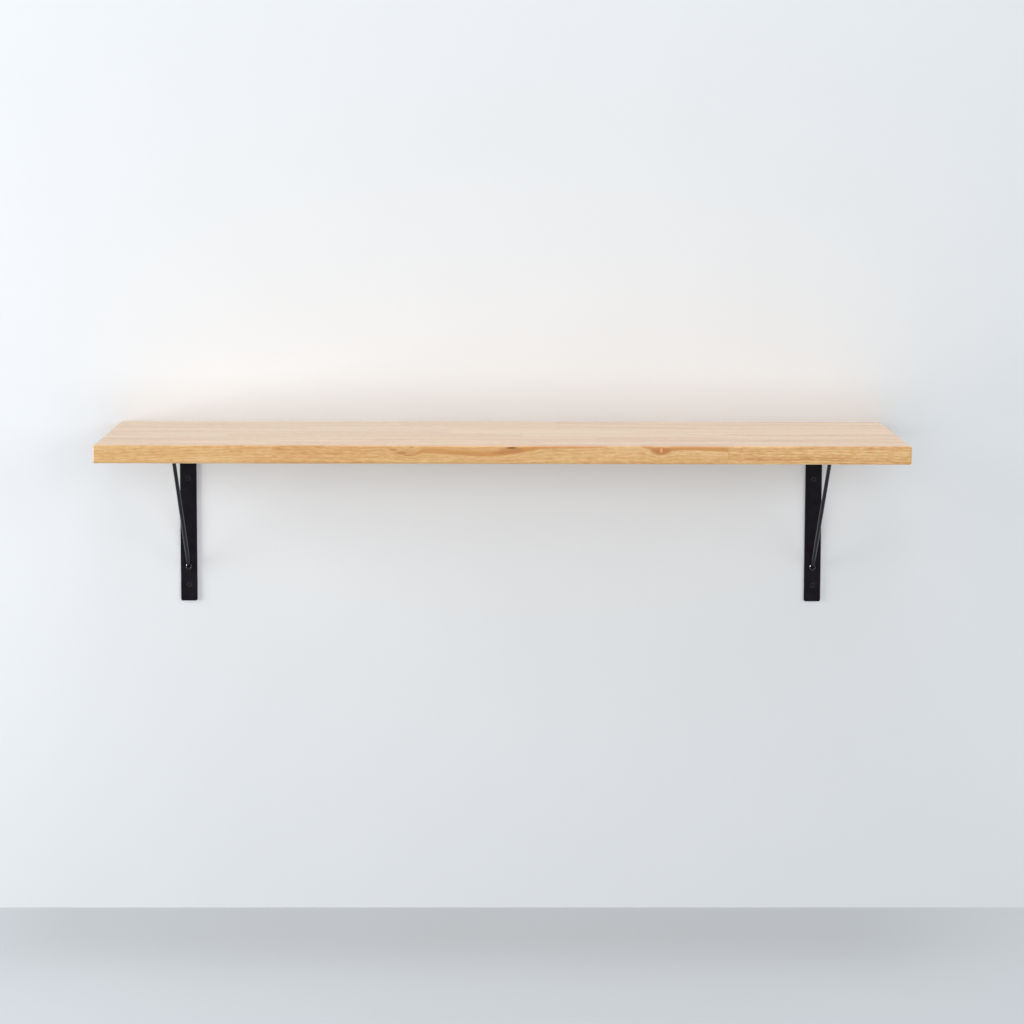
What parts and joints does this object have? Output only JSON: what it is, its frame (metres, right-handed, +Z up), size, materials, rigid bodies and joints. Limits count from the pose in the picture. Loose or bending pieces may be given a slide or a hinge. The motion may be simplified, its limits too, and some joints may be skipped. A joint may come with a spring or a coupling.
{
  "type": "wall shelf with brackets",
  "caption": "Straight wooden wall shelf glued up from finger-jointed blocks, on two black flat-bar brackets with welded round braces.",
  "frame": {"origin": "middle of the board's rear face, in the plane of the wall", "axes": "+X along the shelf to the right as seen from the room, +Y into the wall, +Z up"},
  "size_m": [1.2, 0.3462, 0.287],
  "materials": {
    "board_wood": "clear satin lacquer on pale laminated hardwood",
    "black_paint": "satin black powder coat on hot-rolled flat bar and round bar",
    "weld_black": "rippled weld bead under the same black coat",
    "screw_black": "black oxide wood screw"
  },
  "bodies": {
    "root": {"board_row1_block1": "board_wood", "board_row1_block2": "board_wood", "board_row1_block3": "board_wood", "board_row2_block1": "board_wood", "board_row2_block2": "board_wood", "board_row2_block3": "board_wood", "board_row3_block1": "board_wood", "board_row3_block2": "board_wood", "board_row3_block3": "board_wood", "board_row3_block4": "board_wood", "board_row4_block1": "board_wood", "board_row4_block2": "board_wood", "board_row4_block3": "board_wood", "board_row5_block1": "board_wood", "board_row5_block2": "board_wood", "board_row5_block3": "board_wood", "board_row5_block4": "board_wood", "board_row6_block1": "board_wood", "board_row6_block2": "board_wood", "board_row6_block3": "board_wood", "left_strap": "black_paint", "left_brace": "black_paint", "left_foot_weld": "weld_black", "left_head_weld": "weld_black", "left_wall_screws": "screw_black", "left_board_screws": "screw_black", "right_strap": "black_paint", "right_brace": "black_paint", "right_foot_weld": "weld_black", "right_head_weld": "weld_black", "right_wall_screws": "screw_black", "right_board_screws": "screw_black"}
  },
  "joints": []
}
